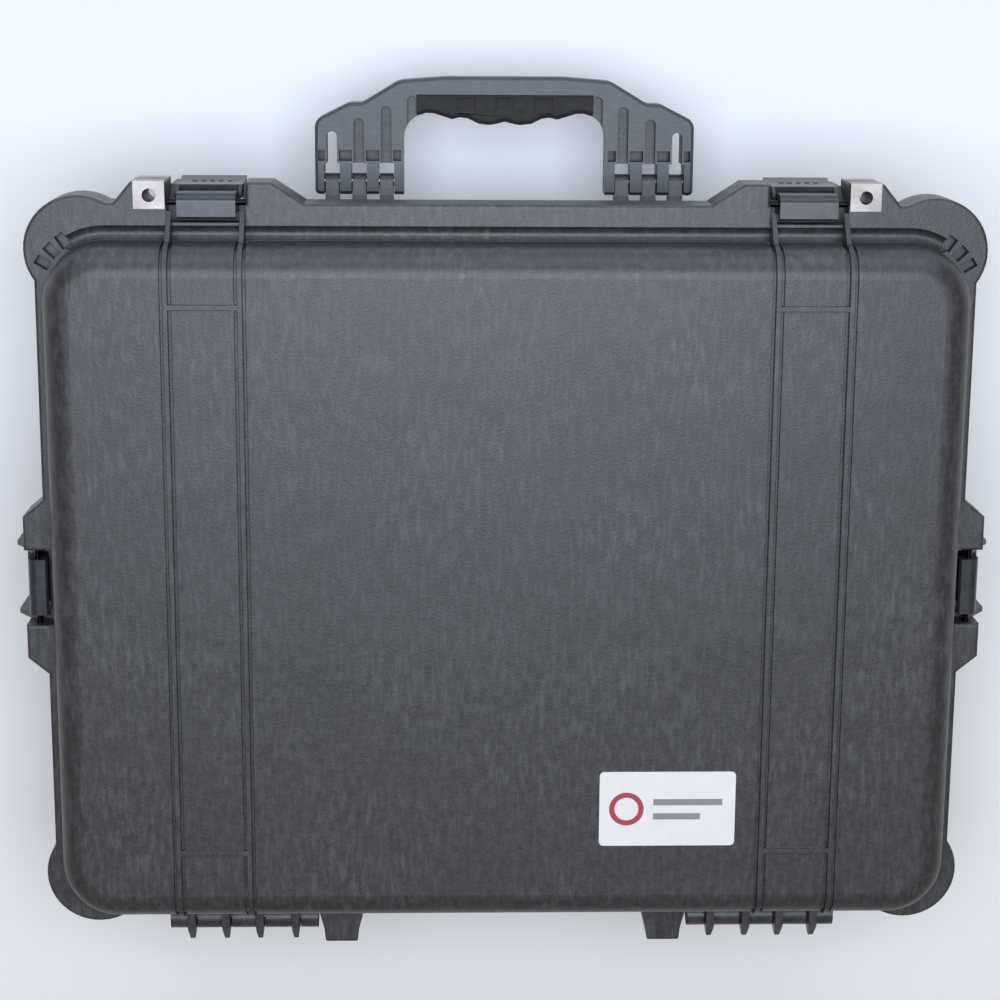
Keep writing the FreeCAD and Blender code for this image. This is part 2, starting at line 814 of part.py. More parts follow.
# ---- Handle -------------------------------------------------------------------------------------------

HANDLE_OUTLINE = (  # half of the outer outline: from the middle, outwards from the pivot, and its rounding
    (38.0, 67.3, 0),
    (68.0, 65.0, 14),
    (92.0, 50.6, 8),
    (100.5, 50.6, 8),
    (122.6, 39.5, 8),
    (122.6, -8.0, 3),
)
HANDLE_SLOTS = ((111.7, 32.3, True), (94.2, 40.8, False), (76.5, 48.6, False), (59.7, 55.2, False))
SLOT_DEPTH = 5.0
GRIP_HALF = 57.0
GRIP_TOP = 56.0
LEG_IN = 65.2
CORNER_REACH = 37.24  # where the opening's upper corner would be if it were sharp


def handle_plan(outline, low, high):
    """An outline of (x, reach) points, pushed through the handle's thickness."""
    return plan_prism([(x, HANDLE_Y - reach) for x, reach in outline], HANDLE_Z + low, HANDLE_Z + high)


def both_halves(half):
    return [*((-x, reach) for x, reach in half), *reversed(half)]


def rounded_corners(prism, corners):
    """Rounds the handle's edges that run through its thickness at (x, reach, radius) corners."""
    for x, reach, radius in corners:
        upright = []
        for edge in prism.Edges:
            centre = edge.CenterOfMass
            at_corner = abs(abs(centre.x) - x) < 0.1 and abs(HANDLE_Y - reach - centre.y) < 0.1
            if at_corner and abs(centre.z - HANDLE_Z) < 0.1:
                upright.append(edge)
        if radius:
            prism = prism.makeFillet(radius, upright)
    return prism


def handle_bail():
    """The handle's outside, chamfered on both faces."""
    half = [(x, reach) for x, reach, _ in HANDLE_OUTLINE]
    bail = handle_plan(both_halves(half), -HANDLE_HALF_T, HANDLE_HALF_T)
    bail = rounded_corners(bail, HANDLE_OUTLINE)
    faces = [
        *edges_in_plane(bail, "Z", HANDLE_Z - HANDLE_HALF_T),
        *edges_in_plane(bail, "Z", HANDLE_Z + HANDLE_HALF_T),
    ]
    return bail.makeChamfer(2.0, faces)


def handle_opening():
    half = ((GRIP_HALF, GRIP_TOP), (GRIP_HALF, 41.97), (LEG_IN, CORNER_REACH), (LEG_IN, -12))
    return rounded_corners(handle_plan(both_halves(half), -20, 20), ((LEG_IN, CORNER_REACH, 15.5),))


def handle_slot(x, top, through):
    """A slot up one leg of the handle with a round end, cut through or into both faces."""
    half = HANDLE_SLOT_W / 2
    outline = ((x - half, 10), (x - half, top - half), (x + half, top - half), (x + half, 10))
    spans = [(-20, 20)] if through else [(HANDLE_HALF_T - SLOT_DEPTH, 20), (-20, SLOT_DEPTH - HANDLE_HALF_T)]
    tools = []
    for low, high in spans:
        tools.append(handle_plan(outline, low, high))
        tools.append(rod(half, V(x, HANDLE_Y - top + half, HANDLE_Z + low), UP, high - low))
    return tools


def handle_frame():
    tools = [handle_opening()]
    for _, side in SIDES:
        for middle in HANDLE_GAPS:
            x0 = side * middle - HANDLE_GAP_W / 2
            gap = ((x0, -12), (x0, 12.0), (x0 + HANDLE_GAP_W, 12.0), (x0 + HANDLE_GAP_W, -12))
            tools.append(handle_plan(gap, -20, 20))
        for x, top, through in HANDLE_SLOTS:
            tools += handle_slot(side * x, top, through)
        for near, far in ((67.0, 72.0), (81.0, 89.7), (98.7, 107.2), (116.2, 120.4)):
            pocket = ((near, 13.6), (near, 20.6), (far, 20.6), (far, 13.6))
            pocket = [(side * x, reach) for x, reach in pocket]
            tools.append(handle_plan(pocket, 1.2, 20))
            tools.append(handle_plan(pocket, -20, -1.2))
        x = side * HANDLE_LEG_X
        tools.append(cross_rod(HANDLE_PIN_R + TURNING_FIT, x - 40, x + 40, HANDLE_Y, HANDLE_Z))
    return cut(handle_bail(), tools)


def handle_grip():
    """A soft pad under the handle's bar, with a row of finger bumps."""
    half = (
        (GRIP_HALF, GRIP_TOP),
        (GRIP_HALF, 42.2),
        (51, 44.1),
        (46, 43.9),
        (34, 40.2),
        (29, 41.4),
        (24, 40.8),
        (17, 37.4),
        (10, 36.6),
        (6, 37.2),
        (0, 38.8),
    )
    outline = [*((-x, reach) for x, reach in half[:-1]), *reversed(half)]
    grip = handle_plan(outline, 1 - HANDLE_HALF_T, HANDLE_HALF_T - 1)
    faces = [
        *edges_in_plane(grip, "Z", HANDLE_Z + 1 - HANDLE_HALF_T),
        *edges_in_plane(grip, "Z", HANDLE_Z - 1 + HANDLE_HALF_T),
    ]
    under = [edge for edge in faces if edge.BoundBox.YMin > HANDLE_Y - GRIP_TOP + 8]
    grip = grip.makeChamfer(2.4, under)
    recesses = [
        handle_plan(((x - 5.8, 44.6), (x - 5.8, 54), (x + 5.8, 54), (x + 5.8, 44.6)), 8 - 0.6, 20)
        for x in (-25, 0, 25)
    ]
    return cut(grip, recesses)


# ---- Small pieces -------------------------------------------------------------------------------------


def hinge_pin(side):
    return cross_rod(HINGE_PIN_R, side * HINGE_X - 46.5, side * HINGE_X + 46.5, HINGE_Y, HINGE_Z)


def handle_pin(side):
    return cross_rod(HANDLE_PIN_R, side * HANDLE_LEG_X - 28.4, side * HANDLE_LEG_X + 28.4, HANDLE_Y, HANDLE_Z)


def padlock_plate(side, upper):
    """A bent plate that guards a padlock hole."""
    x = side * PADLOCK_X
    half = PLATE_SIZE / 2
    outer = BELT_Y0 - LUG_H
    level = PART_Z + LID_BELT if upper else PART_Z - BASE_BELT - PLATE_T
    leaf = (level - 13, level + PLATE_T) if upper else (level, level + 13)
    flat = box(x - half, x + half, outer - PLATE_T, outer + 16.5, level, level + PLATE_T)
    front = box(x - half, x + half, outer - PLATE_T, outer, *leaf)
    hole = rod(PADLOCK_R, V(x, PADLOCK_Y, level - 5), UP, 12)
    return fuse([flat, front]).cut(hole)


def lid_gasket():
    return seal_ring(GROOVE_INSET, GROOVE_W, PART_Z + TONGUE_H + 0.2, GROOVE_TOP)


def label():
    half_x, half_y, thick = LABEL_SIZE[0] / 2, LABEL_SIZE[1] / 2, LABEL_SIZE[2]
    low_x, high_x = LABEL_X - half_x, LABEL_X + half_x
    return rounded_prism(low_x, high_x, LABEL_Y - half_y, LABEL_Y + half_y, 3.0, TOP_Z, TOP_Z + thick)


def valve_body():
    wall = valve_wall()
    flange = rod(14, V(0, wall - 1, VALVE_Z), V(0, -1, 0), 3)
    stem = rod(9.0 - 0.02, V(0, wall + 20, VALVE_Z), V(0, -1, 0), 22)
    slot = box(-8, 8, wall - 5, wall - 3.2, VALVE_Z - 1, VALVE_Z + 1)
    return fuse([flange, stem]).cut(slot)


def valve_wall():
    """The y of the valve seat's face."""
    return 12 - BODY_Y - 15


def valve_seal():
    wall = valve_wall()
    ring = rod(13, V(0, wall, VALVE_Z), V(0, -1, 0), 1)
    return ring.cut(rod(9.0, V(0, wall + 1, VALVE_Z), V(0, -1, 0), 3))


def valve_nut():
    wall = valve_wall()
    corners = []
    for turn in range(0, 360, 60):
        angle = math.radians(turn)
        corners.append(V(13 * math.cos(angle), wall + 17, VALVE_Z + 13 * math.sin(angle)))
    nut = polygon_prism(corners, V(0, -1, 0), 5)
    return nut.cut(rod(9.0, V(0, wall + 30, VALVE_Z), V(0, -1, 0), 30))


def foam_block(z0, z1):
    """A slab of foam that fills the base between two heights, a little clear of its walls."""
    rise = BASE_DRAFT / PART_Z
    half_x = BODY_X - BASE_DRAFT - WALL - FOAM_GAP + rise * z0
    half_y = BODY_Y - BASE_DRAFT - WALL - FOAM_GAP + rise * z0
    lean = -rise * (z1 - z0)
    return tapered_block(half_x, half_y, BODY_R - 7, z0, z1, lean)


def nut_relief():
    return rod(18, V(0, 30 - BODY_Y, VALVE_Z), V(0, -1, 0), 30)


def base_foam_pad():
    pad = foam_block(FLOOR, FLOOR + PAD_T)
    return pad.makeFillet(BASE_EDGE_R - 5, edges_in_plane(pad, "Z", FLOOR))


def base_foam_lower():
    low = FLOOR + PAD_T
    return foam_block(low, low + LAYER_T)


def base_foam_upper():
    low = FLOOR + PAD_T + LAYER_T
    block = foam_block(low, low + LAYER_T)
    pockets = [
        box(x0 * CELL, x1 * CELL, y0 * CELL, y1 * CELL, low - 1, low + LAYER_T + 1)
        for _, x0, x1, y0, y1 in POCKETS
    ]
    return cut(block, [*pockets, nut_relief()])


def lid_foam():
    slab = tapered_block(
        BODY_X - WALL - FOAM_GAP,
        BODY_Y - WALL - FOAM_GAP,
        CORNER_R - 6,
        PART_Z + 2,
        LID_CEILING,
        LID_DRAFT,
    )
    return slab.makeFillet(LID_EDGE_R - 5, edges_in_plane(slab, "Z", LID_CEILING))


# ---- Export -------------------------------------------------------------------------------------------


def all_nodes():
    rim = base_rim()
    dome = lid_outside()
    nodes = {
        "base_tub": base_tub(),
        "base_rim": rim,
        "lid_dome": lid_dome(dome),
        "lid_rim": lid_rim(dome),
        "lid_gasket": lid_gasket(),
        "lid_foam": lid_foam(),
        "label": label(),
        "handle_frame": handle_frame(),
        "handle_grip": handle_grip(),
        "valve_body": valve_body(),
        "valve_seal": valve_seal(),
        "valve_nut": valve_nut(),
        "base_foam_pad": base_foam_pad(),
        "base_foam_lower": base_foam_lower(),
        "base_foam_upper": base_foam_upper(),
    }
    for name, side in SIDES:
        nodes[f"stand_foot_{name}"] = stand_foot(side, rim)
        nodes[f"handle_bracket_{name}"] = handle_bracket(side)
        nodes[f"hinge_pin_{name}"] = hinge_pin(side)
        nodes[f"handle_pin_{name}"] = handle_pin(side)
        nodes[f"padlock_plate_upper_{name}"] = padlock_plate(side, True)
        nodes[f"padlock_plate_lower_{name}"] = padlock_plate(side, False)
    for station in LATCHES:
        nodes[f"latch_hook_{station[0]}"] = latch_hook(station)
        nodes[f"latch_lever_{station[0]}"] = latch_lever(station)
        nodes[f"latch_pin_{station[0]}"] = latch_pin(station)
        nodes[f"lever_pin_{station[0]}"] = lever_pin(station)
    return nodes


os.makedirs("parts", exist_ok=True)
for node, shape in all_nodes().items():
    if len(shape.Solids) != 1 or not shape.isValid():
        print("check", node, len(shape.Solids), shape.isValid())
    shape.exportStep(f"parts/{node}.step")
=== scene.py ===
"""A hard transport case, closed and lying on its base, with its carry handle raised.

The deep base and the shallow lid are black polypropylene mouldings. The lid is hinged along the back and
held by four two-part latches. Foam fills both halves, with three pockets cut in the base's top layer.
"""

import json
import math
import random

import bmesh
import bpy
from mathutils import Matrix, Vector


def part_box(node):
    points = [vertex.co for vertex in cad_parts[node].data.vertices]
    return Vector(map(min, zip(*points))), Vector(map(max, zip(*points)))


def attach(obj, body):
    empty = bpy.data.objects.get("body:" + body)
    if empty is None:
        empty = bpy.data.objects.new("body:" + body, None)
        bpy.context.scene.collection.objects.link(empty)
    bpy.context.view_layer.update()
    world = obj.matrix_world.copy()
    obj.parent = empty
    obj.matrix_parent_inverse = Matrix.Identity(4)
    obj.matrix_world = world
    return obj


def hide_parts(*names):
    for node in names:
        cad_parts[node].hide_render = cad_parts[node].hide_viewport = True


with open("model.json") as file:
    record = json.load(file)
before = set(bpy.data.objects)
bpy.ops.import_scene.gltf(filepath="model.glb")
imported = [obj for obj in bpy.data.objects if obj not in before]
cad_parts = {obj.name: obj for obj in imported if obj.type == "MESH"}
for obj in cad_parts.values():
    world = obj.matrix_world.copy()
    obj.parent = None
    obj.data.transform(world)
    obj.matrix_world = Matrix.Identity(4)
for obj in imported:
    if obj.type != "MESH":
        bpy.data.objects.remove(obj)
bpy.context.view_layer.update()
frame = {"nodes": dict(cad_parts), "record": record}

MM = 0.001


# ---- Base and lid shells -----------------------------------------------------------------------------
# Two injection mouldings in black polypropylene. The mould's spark-eroded skin leaves a fine pebble grain
# that scatters light softly, and handling leaves pale hairlines and a slightly polished high edge.

SHELL_DARK = "#252526"
SHELL_PALE = "#343536"
SHELL_SCUFF = "#626466"
SHELL_GRAIN = 1.3 * MM  # the real grain is 0.3 mm, drawn coarser so that it shows
SHELL_EDGE = 0.7 * MM  # the rounding that a mould leaves on every edge


def linear(hex_colour):
    """An sRGB hex colour as linear red, green, blue and alpha."""
    parts = [int(hex_colour[i : i + 2], 16) / 255 for i in (1, 3, 5)]
    return (*(p / 12.92 if p <= 0.04045 else ((p + 0.055) / 1.055) ** 2.4 for p in parts), 1.0)


def add(tree, kind, inputs=None, **settings):
    """Adds a node with its settings, and sets or links each input that is given."""
    made = tree.nodes.new(kind)
    for name, value in settings.items():
        setattr(made, name, value)
    for name, value in (inputs or {}).items():
        if isinstance(value, bpy.types.NodeSocket):
            tree.links.new(value, made.inputs[name])
        else:
            made.inputs[name].default_value = value
    return made


def new_material(name, surface):
    """A material with its shader's plain values set, and its tree, its shader and its Object coordinates."""
    material = bpy.data.materials.new(name)
    material.use_nodes = True
    tree = material.node_tree
    shader = tree.nodes["Principled BSDF"]
    for socket, value in surface.items():
        shader.inputs[socket].default_value = value
    return material, tree, shader, add(tree, "ShaderNodeTexCoord").outputs["Object"]


def dress(node, material):
    """Gives a CAD node one material."""
    slots = frame["nodes"][node].data.materials
    slots.clear()
    slots.append(material)


def grained_polypropylene():
    material, tree, shader, place = new_material(
        "grained_polypropylene", {"IOR": 1.49, "Specular IOR Level": 0.65}
    )

    # tone: fine mottling of the grain, broad clouds, then soft pale rubs that run front to back
    mottle = add(
        tree, "ShaderNodeTexNoise", {"Vector": place, "Scale": 1 / (5 * MM), "Detail": 7.0, "Roughness": 0.75}
    )
    cloud = add(tree, "ShaderNodeTexNoise", {"Vector": place, "Scale": 1 / (70 * MM), "Detail": 5.0})
    along = add(tree, "ShaderNodeMapping", {"Vector": place, "Scale": (1.0, 0.22, 0.6)})
    rub = add(
        tree,
        "ShaderNodeTexNoise",
        {"Vector": along.outputs[0], "Scale": 1 / (3.4 * MM), "Detail": 3.0, "Roughness": 0.65},
    )
    tone = add(
        tree, "ShaderNodeMapRange", {"Value": mottle.outputs[0], "From Min": 0.36, "From Max": 0.64}
    )
    line = add(
        tree,
        "ShaderNodeMapRange",
        {"Value": rub.outputs[0], "From Min": 0.46, "From Max": 0.72, "To Max": 0.42},
    )
    patch = add(
        tree,
        "ShaderNodeMapRange",
        {"Value": cloud.outputs[0], "From Min": 0.35, "From Max": 0.65, "To Min": 0.35},
    )
    scuff = add(tree, "ShaderNodeMath", {0: line.outputs[0], 1: patch.outputs[0]}, operation="MULTIPLY")
    plain = add(
        tree,
        "ShaderNodeMix",
        {0: tone.outputs[0], 6: linear(SHELL_DARK), 7: linear(SHELL_PALE)},
        data_type="RGBA",
    )
    scuffed = add(
        tree,
        "ShaderNodeMix",
        {0: scuff.outputs[0], 6: plain.outputs[2], 7: linear(SHELL_SCUFF)},
        data_type="RGBA",
    )

    # gloss: even satin, varying a little with the mottling
    gloss = add(
        tree,
        "ShaderNodeMapRange",
        {"Value": mottle.outputs[0], "From Min": 0.3, "From Max": 0.7, "To Min": 0.38, "To Max": 0.5},
    )

    # relief: moulded edges, faint sink marks, then the pebble grain
    edge = add(tree, "ShaderNodeBevel", {"Radius": SHELL_EDGE}, samples=4)
    sink = add(tree, "ShaderNodeTexNoise", {"Vector": place, "Scale": 1 / (45 * MM), "Detail": 1.0})
    pebble = add(
        tree,
        "ShaderNodeTexVoronoi",
        {"Vector": place, "Scale": 1 / SHELL_GRAIN, "Smoothness": 0.6},
        feature="SMOOTH_F1",
    )
    waved = add(
        tree,
        "ShaderNodeBump",
        {"Height": sink.outputs[0], "Normal": edge.outputs[0], "Strength": 0.25, "Distance": 1.2 * MM},
    )
    bumped = add(
        tree,
        "ShaderNodeBump",
        {"Height": pebble.outputs[0], "Normal": waved.outputs[0], "Strength": 0.5, "Distance": 0.12 * MM},
    )
    tree.links.new(scuffed.outputs[2], shader.inputs["Base Color"])
    tree.links.new(gloss.outputs[0], shader.inputs["Roughness"])
    tree.links.new(bumped.outputs[0], shader.inputs["Normal"])
    return material


SHELL = grained_polypropylene()
MOULDED = ["base_tub", "base_rim", "lid_dome", "lid_rim"]
MOULDED += [f"{kind}_{side}" for kind in ("stand_foot", "handle_bracket") for side in ("left", "right")]
for node in MOULDED:
    dress(node, SHELL)


# ---- Pins ----------------------------------------------------------------------------------------------
# Centreless-ground rod, pushed in from the side: bright stainless in the hinges and the handle. The thicker
# and the thinner pin in each latch are stainless too, coloured near black as painted shade. Grinding leaves
# very fine rings round the rod.


def ground_steel(name, colour):
    material, tree, shader, place = new_material(name, {"Metallic": 1.0, "Base Color": linear(colour)})
    rings = add(tree, "ShaderNodeTexNoise", {"Vector": place, "Scale": 1 / (0.5 * MM), "Detail": 3.0})
    gloss = add(
        tree, "ShaderNodeMapRange", {"Value": rings.outputs[0], "To Min": 0.16, "To Max": 0.4}
    )
    relief = add(
        tree, "ShaderNodeBump", {"Height": rings.outputs[0], "Strength": 0.2, "Distance": 0.02 * MM}
    )
    tree.links.new(gloss.outputs[0], shader.inputs["Roughness"])
    tree.links.new(relief.outputs[0], shader.inputs["Normal"])
    return material


BRIGHT_PIN = ground_steel("ground_stainless_rod", "#b9babb")
# near black: painted shade on the stainless latch pins, for the shade they sit in
PIN_PAINTED_SHADE = ground_steel("pin_rod_painted_shade", "#1d1e20")
STATIONS = ("front_left", "front_right", "side_left", "side_right")
for side in ("left", "right"):
    for kind in ("hinge", "handle"):
        dress(f"{kind}_pin_{side}", BRIGHT_PIN)
for station in STATIONS:
    for kind in ("latch", "lever"):
        dress(f"{kind}_pin_{station}", PIN_PAINTED_SHADE)


# ---- Latches -------------------------------------------------------------------------------------------
# Each latch is two satin ABS mouldings: a hook that hangs on the lid, and a pull lever that turns on the
# hook. ABS moulds smoother than the shell, so it is glossier, with softly rounded edges.

ABS_DARK = "#1c1e20"
ABS_PALE = "#35393e"
ABS_EDGE = 0.5 * MM


def satin_abs():
    material, tree, shader, place = new_material("satin_black_abs", {"IOR": 1.53})
    mottle = add(tree, "ShaderNodeTexNoise", {"Vector": place, "Scale": 1 / (5 * MM), "Detail": 5.0})
    tone = add(
        tree,
        "ShaderNodeMix",
        {0: mottle.outputs[0], 6: linear(ABS_DARK), 7: linear(ABS_PALE)},
        data_type="RGBA",
    )
    gloss = add(
        tree, "ShaderNodeMapRange", {"Value": mottle.outputs[0], "To Min": 0.24, "To Max": 0.42}
    )
    skin = add(tree, "ShaderNodeTexNoise", {"Vector": place, "Scale": 1 / (0.7 * MM), "Detail": 2.0})
    relief = add(
        tree, "ShaderNodeBump", {"Height": skin.outputs[0], "Strength": 0.25, "Distance": 0.05 * MM}
    )
    tree.links.new(tone.outputs[2], shader.inputs["Base Color"])
    tree.links.new(gloss.outputs[0], shader.inputs["Roughness"])
    tree.links.new(relief.outputs[0], shader.inputs["Normal"])
    return material


BODY_OF = {n: body for body, names in frame["record"]["behaviour"]["bodies"].items() for n in names}


def add_piece(bm, name, material, body, replaces=(), sharp=40):
    """Makes a finished bmesh a piece that rides on a body, smooth but for edges sharper than an angle."""
    bmesh.ops.recalc_face_normals(bm, faces=bm.faces)
    for face in bm.faces:
        face.smooth = True
    for edge in bm.edges:
        if len(edge.link_faces) == 2 and edge.calc_face_angle() > math.radians(sharp):
            edge.smooth = False
    mesh = bpy.data.meshes.new(name)
    bm.to_mesh(mesh)
    bm.free()
    mesh.materials.append(material)
    piece = bpy.data.objects.new(name, mesh)
    bpy.context.scene.collection.objects.link(piece)
    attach(piece, body)
    if replaces:
        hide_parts(*replaces)
    return piece


def round_over(bm, geom, width, segments, affect="EDGES"):
    """Rounds edges or corners over, to a width."""
    bmesh.ops.bevel(
        bm,
        geom=geom,
        offset=width,
        offset_type="OFFSET",
        segments=segments,
        profile=0.5,
        affect=affect,
        clamp_overlap=True,
        material=-1,
    )


def eased_copy(node, name, material, width, segments=3):
    """A copy of a CAD solid with its sharp edges rounded over, in the solid's place."""
    bm = bmesh.new()
    bm.from_mesh(frame["nodes"][node].data)
    bmesh.ops.remove_doubles(bm, verts=bm.verts, dist=0.01 * MM)
    bmesh.ops.dissolve_limit(bm, angle_limit=math.radians(0.5), verts=bm.verts, edges=bm.edges)
    corners = [e for e in bm.edges if len(e.link_faces) == 2 and e.calc_face_angle() > math.radians(25)]
    round_over(bm, corners, width, segments)
    piece = add_piece(bm, name, material, BODY_OF[node], [node])
    weights = piece.modifiers.new("flat_faces_stay_flat", "WEIGHTED_NORMAL")
    weights.keep_sharp = True
    return piece


ABS = satin_abs()
for station in STATIONS:
    eased_copy(f"latch_hook_{station}", f"hook_moulding_{station}", ABS, ABS_EDGE)
    eased_copy(f"latch_lever_{station}", f"lever_moulding_{station}", ABS, ABS_EDGE)


# ---- Padlock plates ------------------------------------------------------------------------------------
# Stainless sheet, 1 mm thick, punched and bent over the outer latch lugs so that a padlock can't tear the
# plastic. Linear brushing runs across each plate.

PLATE_DARK = "#7d7875"
PLATE_PALE = "#8d8784"
PLATE_EDGE = 0.2 * MM


def brushed_stainless():
    material, tree, shader, place = new_material(
        "brushed_stainless_sheet", {"Metallic": 1.0, "Anisotropic": 0.5}
    )
    along = add(tree, "ShaderNodeMapping", {"Vector": place, "Scale": (0.04, 1.0, 1.0)})
    lines = add(
        tree, "ShaderNodeTexNoise", {"Vector": along.outputs[0], "Scale": 1 / (0.35 * MM), "Detail": 3.0}
    )
    smear = add(tree, "ShaderNodeTexNoise", {"Vector": place, "Scale": 1 / (6 * MM), "Detail": 3.0})
    tone = add(
        tree,
        "ShaderNodeMix",
        {0: smear.outputs[0], 6: linear(PLATE_DARK), 7: linear(PLATE_PALE)},
        data_type="RGBA",
    )
    gloss = add(
        tree, "ShaderNodeMapRange", {"Value": lines.outputs[0], "To Min": 0.22, "To Max": 0.5}
    )
    relief = add(
        tree, "ShaderNodeBump", {"Height": lines.outputs[0], "Strength": 0.35, "Distance": 0.03 * MM}
    )
    tree.links.new(tone.outputs[2], shader.inputs["Base Color"])
    tree.links.new(gloss.outputs[0], shader.inputs["Roughness"])
    tree.links.new(relief.outputs[0], shader.inputs["Normal"])
    return material


STAINLESS = brushed_stainless()
for level in ("upper", "lower"):
    for side in ("left", "right"):
        place = f"{level}_{side}"
        eased_copy(f"padlock_plate_{place}", f"punched_plate_{place}", STAINLESS, PLATE_EDGE)


# ---- Carry handle --------------------------------------------------------------------------------------
# A thick glass-filled nylon bail with ribbed legs, and a soft rubber grip moulded under its bar. Glass
# fibres make the nylon's skin faintly streaky; the rubber is dull, with a fine diamond tread.

NYLON_DARK = "#2c2e32"
NYLON_PALE = "#44484d"
NYLON_PAINTED_SHADE = "#08090b"  # painted shade, the colour the recesses darken to
RUBBER_DARK = "#0f1011"
RUBBER_PALE = "#17181a"
HANDLE_EDGE = 0.6 * MM
TREAD = 2.2 * MM  # from peak to peak of the diamond tread


def glass_filled_nylon():
    material, tree, shader, place = new_material("glass_filled_nylon", {"IOR": 1.53})
    flow = add(tree, "ShaderNodeMapping", {"Vector": place, "Scale": (0.3, 1.0, 1.0)})
    fibres = add(
        tree,
        "ShaderNodeTexNoise",
        {"Vector": flow.outputs[0], "Scale": 1 / (1.6 * MM), "Detail": 6.0, "Roughness": 0.7},
    )
    tone = add(
        tree,
        "ShaderNodeMix",
        {0: fibres.outputs[0], 6: linear(NYLON_DARK), 7: linear(NYLON_PALE)},
        data_type="RGBA",
    )
    # painted shade: the nylon's colour darkens in its recesses and slots, wherever ambient occlusion finds
    # them
    recess_shade = add(tree, "ShaderNodeAmbientOcclusion", {"Distance": 9 * MM}, samples=6)
    unshaded_share = add(
        tree, "ShaderNodeMapRange", {"Value": recess_shade.outputs["AO"], "From Min": 0.45, "From Max": 0.88}
    )
    painted_shade_tone = add(
        tree,
        "ShaderNodeMix",
        {0: unshaded_share.outputs[0], 6: linear(NYLON_PAINTED_SHADE), 7: tone.outputs[2]},
        data_type="RGBA",
    )
    gloss = add(
        tree, "ShaderNodeMapRange", {"Value": fibres.outputs[0], "To Min": 0.3, "To Max": 0.55}
    )
    relief = add(
        tree, "ShaderNodeBump", {"Height": fibres.outputs[0], "Strength": 0.3, "Distance": 0.08 * MM}
    )
    tree.links.new(painted_shade_tone.outputs[2], shader.inputs["Base Color"])
    tree.links.new(gloss.outputs[0], shader.inputs["Roughness"])
    tree.links.new(relief.outputs[0], shader.inputs["Normal"])
    return material


def treaded_rubber():
    material, tree, shader, place = new_material(
        "treaded_soft_rubber", {"IOR": 1.52, "Sheen Weight": 0.25, "Sheen Roughness": 0.5}
    )
    dust = add(tree, "ShaderNodeTexNoise", {"Vector": place, "Scale": 1 / (4 * MM), "Detail": 5.0})
    tone = add(
        tree,
        "ShaderNodeMix",
        {0: dust.outputs[0], 6: linear(RUBBER_DARK), 7: linear(RUBBER_PALE)},
        data_type="RGBA",
    )
    gloss = add(
        tree, "ShaderNodeMapRange", {"Value": dust.outputs[0], "To Min": 0.6, "To Max": 0.85}
    )
    slanted = add(tree, "ShaderNodeMapping", {"Vector": place, "Rotation": (0.0, 0.0, math.radians(45))})
    tread = add(
        tree,
        "ShaderNodeTexVoronoi",
        {"Vector": slanted.outputs[0], "Scale": 1 / TREAD, "Randomness": 0.0},
        distance="CHEBYCHEV",
    )
    relief = add(
        tree, "ShaderNodeBump", {"Height": tread.outputs[0], "Strength": 0.4, "Distance": 0.25 * MM}
    )
    tree.links.new(tone.outputs[2], shader.inputs["Base Color"])
    tree.links.new(gloss.outputs[0], shader.inputs["Roughness"])
    tree.links.new(relief.outputs[0], shader.inputs["Normal"])
    return material


NYLON = glass_filled_nylon()
RUBBER = treaded_rubber()
eased_copy("handle_frame", "handle_bail", NYLON, HANDLE_EDGE)
eased_copy("handle_grip", "handle_grip_pad", RUBBER, HANDLE_EDGE)


# ---- Pressure valve ------------------------------------------------------------------------------------
# A threaded ABS plug in the front wall that lets air in and out but not water. A rubber ring seals it
# outside, and a hexagonal nut holds it from inside.

VALVE_EDGE = 0.4 * MM
RING_EDGE = 0.2 * MM
eased_copy("valve_body", "valve_plug", ABS, VALVE_EDGE)
eased_copy("valve_nut", "valve_back_nut", ABS, VALVE_EDGE)
eased_copy("valve_seal", "valve_ring", RUBBER, RING_EDGE)


# ---- Lid gasket ----------------------------------------------------------------------------------------
# A ring of soft black neoprene, pressed into the groove of the lid's rim, where the base's tongue bites it.

GASKET_ROUND = 1.8 * MM


def neoprene():
    material, tree, shader, place = new_material("soft_neoprene", {"IOR": 1.52})
    skin = add(tree, "ShaderNodeTexNoise", {"Vector": place, "Scale": 1 / (1.1 * MM), "Detail": 4.0})
    tone = add(
        tree,
        "ShaderNodeMix",
        {0: skin.outputs[0], 6: linear("#131415"), 7: linear("#1f2022")},
        data_type="RGBA",
    )
    gloss = add(
        tree, "ShaderNodeMapRange", {"Value": skin.outputs[0], "To Min": 0.5, "To Max": 0.75}
    )
    relief = add(
        tree, "ShaderNodeBump", {"Height": skin.outputs[0], "Strength": 0.3, "Distance": 0.08 * MM}
    )
    tree.links.new(tone.outputs[2], shader.inputs["Base Color"])
    tree.links.new(gloss.outputs[0], shader.inputs["Roughness"])
    tree.links.new(relief.outputs[0], shader.inputs["Normal"])
    return material


eased_copy("lid_gasket", "gasket_ring", neoprene(), GASKET_ROUND, segments=5)


# ---- Foam ----------------------------------------------------------------------------------------------
# Charcoal polyurethane foam, cut from block. The base has a thin pad, a plain layer and a top layer that
# is scored into square pegs, plucked out to make three pockets. The lid has a sheet cut in egg-box waves.

FOAM_DARK = "#1c1d1f"
FOAM_PALE = "#3a3c40"
CELL = 12.7 * MM
SCORE = 0.35 * MM  # half the width that the eye sees of each scored cut
FIELD = (20, 15)  # how many pegs the scoring spans, each way from the middle
POCKETS = ((-17, 5, -9, 9), (8, 17, -9, -1), (8, 17, 2, 9))  # first and last column, first and last row
PEG_EDGE = 0.7 * MM
LAYER_EDGE = 2 * MM
SHEET_EDGE = 3.0 * MM
FOAM_ROUND = 30 * MM  # the foam's corners in plan
FOAM_SLACK = 1 * MM  # left between the foam and the walls
UNEVEN = 0.5 * MM  # how much the pegs differ in height
HAIR = 0.01 * MM


